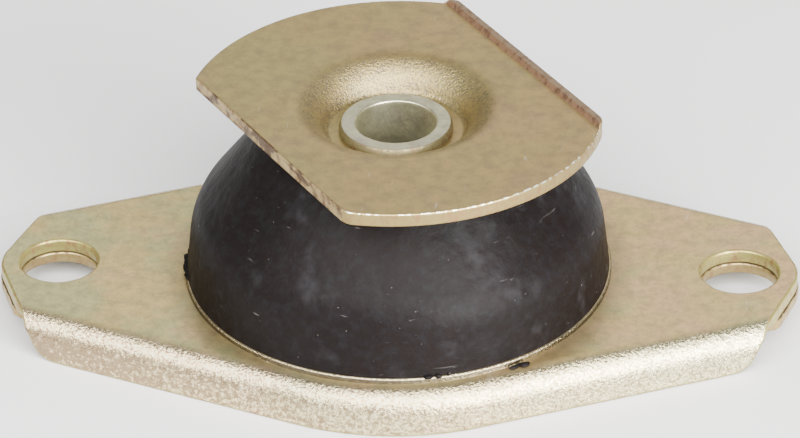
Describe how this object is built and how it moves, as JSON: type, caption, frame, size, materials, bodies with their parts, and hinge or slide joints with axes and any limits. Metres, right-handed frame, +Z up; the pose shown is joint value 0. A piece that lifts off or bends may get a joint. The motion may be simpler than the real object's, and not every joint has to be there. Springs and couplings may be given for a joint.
{
  "type": "engine mount",
  "caption": "Rubber engine mount: a domed rubber block bonded to a lozenge flange with turned-down sides, with a central sleeve and a dished limit plate on top.",
  "frame": {"origin": "on the axis of the centre sleeve, level with the lower edges of the skirts", "axes": "+X through the two bolt holes, +Z up the sleeve, +Y completing the right-handed frame; the corner of the limit plate's plain side nearest -Y is at the front"},
  "size_m": [0.135, 0.0794, 0.0406],
  "materials": {
    "plated_flange": "yellow zinc plating, grainy on the bends",
    "plated_base": "yellow zinc plating",
    "moulded_rubber": "matt moulded rubber with smudges and pale specks",
    "plated_sleeve": "pale greenish zinc plating, turned",
    "plated_plate": "yellow zinc plating, brown on the cut edges"
  },
  "bodies": {
    "root": {"flange_plate": "plated_flange", "base_plate": "plated_base", "rubber_dome": "moulded_rubber", "centre_sleeve": "plated_sleeve", "limit_plate": "plated_plate"}
  },
  "joints": []
}
